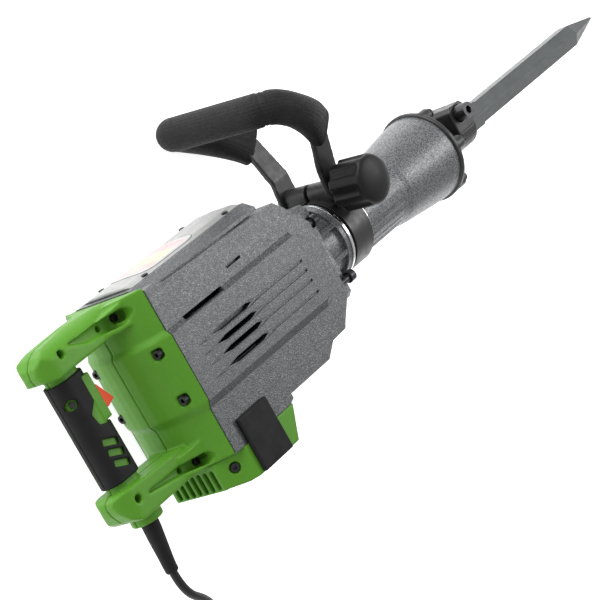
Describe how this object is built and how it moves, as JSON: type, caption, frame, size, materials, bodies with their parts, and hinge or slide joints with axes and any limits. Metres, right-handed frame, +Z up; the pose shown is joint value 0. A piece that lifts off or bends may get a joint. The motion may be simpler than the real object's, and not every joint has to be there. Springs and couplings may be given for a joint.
{
  "type": "electric jackhammer",
  "caption": "Electric demolition hammer with hexagonal point chisel, ribbed barrel, D-shaped rear grip with trigger, swivelling rubber side handle and mains cord.",
  "frame": {"origin": "centre of the tool in plan, at the level of its lowest point, with the tool lying on its left side; the free cord, coil and plug are not counted", "axes": "+X forward along the hammer axis to the bit; +Y towards the top cover and the side handle; +Z up from the floor, towards the right side of the tool"},
  "size_m": [1.082, 0.6618, 0.1804],
  "materials": {
    "housing_paint": "hammertone enamel, fine mottled lumps",
    "cover_paint": "light grey satin enamel",
    "green_plastic": "fine moulded grain",
    "black_paint": "satin black",
    "black_rubber": "matte with fine grain",
    "black_plastic": "fine moulded grain",
    "trigger_plastic": "smooth moulded",
    "machined_steel": "turned and ground",
    "gear_steel": "hobbed, oiled",
    "forged_steel": "dark forged and tempered",
    "screw_steel": "black oxide",
    "bright_ring": "polished edge",
    "cast_aluminium": "fine sand cast",
    "copper": "turned copper bars",
    "winding": "varnished laminations and windings",
    "carbon": "pressed carbon",
    "brass": "stamped",
    "cord_rubber": "smooth matte sheath"
  },
  "bodies": {
    "housing": {"crank_housing": "housing_paint", "top_cover": "cover_paint", "handle_shell_right": "green_plastic", "handle_shell_left": "green_plastic", "tail_cover": "green_plastic", "barrel": "housing_paint", "collar_rings": "bright_ring", "cylinder_liner": "machined_steel", "barrel_sleeve": "machined_steel", "nose_cover": "black_paint", "tool_bushing": "machined_steel", "retainer_spring": "machined_steel", "buffer_ring": "black_rubber", "crank_bearings": "machined_steel", "gear_cover": "cast_aluminium", "gear_plate": "cast_aluminium", "intermediate_bearings": "machined_steel", "stator": "winding", "motor_bearings": "machined_steel", "fan_baffle": "black_plastic", "carbon_brushes": "carbon", "brush_holders": "brass", "grip_right": "black_rubber", "grip_left": "black_rubber", "switch_body": "black_plastic", "trigger_spring": "machined_steel", "bumper_pads": "black_rubber", "cover_screws": "screw_steel", "handle_screws": "screw_steel", "nose_bolts": "screw_steel", "tail_screws": "screw_steel", "flange_bolts": "screw_steel", "cord_guard": "black_rubber", "cord_tube": "cord_rubber", "cord_coil": "cord_rubber", "plug": "black_rubber"},
    "crank": {"crankshaft": "gear_steel", "crank_gear": "gear_steel"},
    "intermediate": {"intermediate_shaft": "gear_steel", "intermediate_wheel": "gear_steel"},
    "rotor": {"armature": "winding", "commutator": "copper", "cooling_fan": "black_plastic"},
    "piston_assembly": {"piston": "cast_aluminium", "piston_seal": "black_rubber", "wrist_pin": "machined_steel", "connecting_rod": "cast_aluminium", "crank_pin": "machined_steel"},
    "striker_body": {"striker": "machined_steel", "striker_seal": "black_rubber"},
    "impact_bolt_body": {"impact_bolt": "machined_steel"},
    "bit_body": {"bit": "forged_steel"},
    "retainer": {"tool_retainer": "forged_steel"},
    "trigger_body": {"trigger": "trigger_plastic"},
    "lock_body": {"lock_button": "black_plastic"},
    "swivel_band": {"handle_band": "black_paint", "clamp_bolt": "screw_steel"},
    "side_handle": {"handle_arms": "black_paint", "handle_grip": "black_rubber"},
    "knob": {"clamp_knob": "black_plastic"}
  },
  "joints": [
    {"name": "crank_turn", "type": "hinge", "parent": "housing", "child": "crank", "pos_m": [-0.2505, -0.0362, 0.076], "axis": [0, 1, 0], "continuous": true},
    {"name": "wheel_turn", "type": "hinge", "parent": "housing", "child": "intermediate", "pos_m": [-0.3105, -0.0362, 0.076], "axis": [0, 1, 0], "continuous": true},
    {"name": "motor_turn", "type": "hinge", "parent": "housing", "child": "rotor", "pos_m": [-0.354, -0.0362, 0.076], "axis": [0, 1, 0], "continuous": true},
    {"name": "piston_slide", "type": "slide", "parent": "housing", "child": "piston_assembly", "axis": [1, 0, 0], "range_m": [-0.04, 0]},
    {"name": "striker_slide", "type": "slide", "parent": "housing", "child": "striker_body", "axis": [1, 0, 0], "range_m": [-0.04, 0.01]},
    {"name": "impact_bolt_slide", "type": "slide", "parent": "housing", "child": "impact_bolt_body", "axis": [1, 0, 0], "range_m": [0, 0.006]},
    {"name": "bit_slide", "type": "slide", "parent": "housing", "child": "bit_body", "axis": [1, 0, 0], "range_m": [0, 0.018]},
    {"name": "retainer_turn", "type": "hinge", "parent": "housing", "child": "retainer", "pos_m": [0.176, -0.0142, 0.076], "axis": [0, 0, 1], "range_deg": [0, 180]},
    {"name": "trigger_press", "type": "hinge", "parent": "housing", "child": "trigger_body", "pos_m": [-0.484, -0.0002, 0.076], "axis": [0, 0, -1], "range_deg": [0, 9], "stiffness_Nm_per_rad": 1, "springref_deg": -5.73},
    {"name": "lock_press", "type": "slide", "parent": "housing", "child": "lock_body", "axis": [0, 0, -1], "range_m": [0, 0.0025], "stiffness_N_per_m": 600, "springref_m": -0.001},
    {"name": "handle_swivel", "type": "hinge", "parent": "housing", "child": "swivel_band", "pos_m": [-0.074, -0.0362, 0.076], "axis": [1, 0, 0], "continuous": true},
    {"name": "handle_tilt", "type": "hinge", "parent": "swivel_band", "child": "side_handle", "pos_m": [-0.074, 0.01261, 0.08027], "axis": [0, -0.0872, 0.9962], "range_deg": [-90, 20]},
    {"name": "knob_turn", "type": "hinge", "parent": "swivel_band", "child": "knob", "pos_m": [-0.074, 0.01261, 0.08027], "axis": [0, -0.0872, 0.9962], "continuous": true}
  ],
  "couplings": [
    {"joint": "wheel_turn", "follows": "crank_turn", "ratio": -2.75},
    {"joint": "motor_turn", "follows": "crank_turn", "ratio": 10.542}
  ]
}
